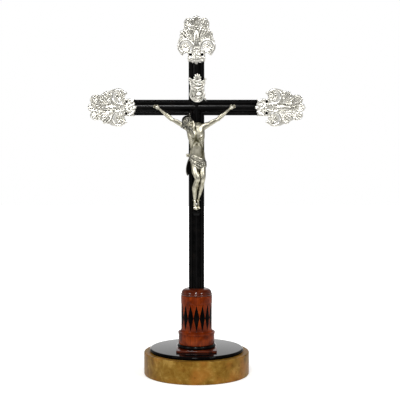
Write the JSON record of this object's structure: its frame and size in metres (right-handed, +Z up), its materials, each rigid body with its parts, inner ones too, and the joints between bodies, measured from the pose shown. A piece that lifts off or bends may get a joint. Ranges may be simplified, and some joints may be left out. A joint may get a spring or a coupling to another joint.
{
  "type": "standing crucifix",
  "caption": "Standing altar crucifix: black moulded cross with openwork silver ends and a silver figure, on a turned inlaid socle, a black plate and a round wooden drum.",
  "frame": {"origin": "centre of the drum's round underside, on the surface that the cross stands on", "axes": "+Z up, along the upright of the cross; +X towards the viewer's right along the crossbar; the front with the figure faces -Y"},
  "size_m": [0.346, 0.171, 0.5785],
  "materials": {
    "burr_wood": "satin",
    "black_polish": "polished",
    "fruitwood": "gloss",
    "ebonised_wood": "gloss",
    "silver": "polished silver with patina in the hollows",
    "dark_silver": "oxidised silver",
    "steel": "satin"
  },
  "bodies": {
    "root": {"base_drum": "burr_wood", "base_plate": "black_polish", "plinth": "fruitwood", "foot_ring": "ebonised_wood", "socle_foot": "fruitwood", "socle_bead_ring": "fruitwood", "socle_column": "fruitwood", "lozenge_01": "ebonised_wood", "lozenge_02": "ebonised_wood", "lozenge_03": "ebonised_wood", "lozenge_04": "ebonised_wood", "lozenge_05": "ebonised_wood", "lozenge_06": "ebonised_wood", "lozenge_07": "ebonised_wood", "lozenge_08": "ebonised_wood", "lozenge_09": "ebonised_wood", "lozenge_10": "ebonised_wood", "lozenge_11": "ebonised_wood", "lozenge_12": "ebonised_wood", "lozenge_13": "ebonised_wood", "lozenge_14": "ebonised_wood", "lozenge_15": "ebonised_wood", "lozenge_16": "ebonised_wood", "socle_collar": "fruitwood", "socle_cap": "fruitwood", "fixing_screw": "steel", "fixing_washer": "steel", "upright_core": "ebonised_wood", "crossbar_core": "ebonised_wood", "moulding_top": "ebonised_wood", "moulding_right": "ebonised_wood", "moulding_bottom": "ebonised_wood", "moulding_left": "ebonised_wood", "foot_rest": "ebonised_wood", "finial_top": "silver", "cuff_top": "silver", "cuff_pin_top": "silver", "finial_left": "silver", "cuff_left": "silver", "cuff_pin_left": "silver", "finial_right": "silver", "cuff_right": "silver", "cuff_pin_right": "silver", "title_plate": "silver", "title_pin_lower": "silver", "title_pin_upper": "silver", "corpus_torso": "silver", "corpus_head": "silver", "corpus_hair": "dark_silver", "crown_of_thorns": "dark_silver", "corpus_arm_left": "silver", "corpus_arm_right": "silver", "corpus_leg_left": "silver", "corpus_leg_right": "silver", "loincloth": "silver", "loincloth_knot": "silver", "loincloth_tail": "dark_silver", "hand_nail_left": "silver", "hand_nail_right": "silver", "foot_nail": "silver"}
  },
  "joints": []
}
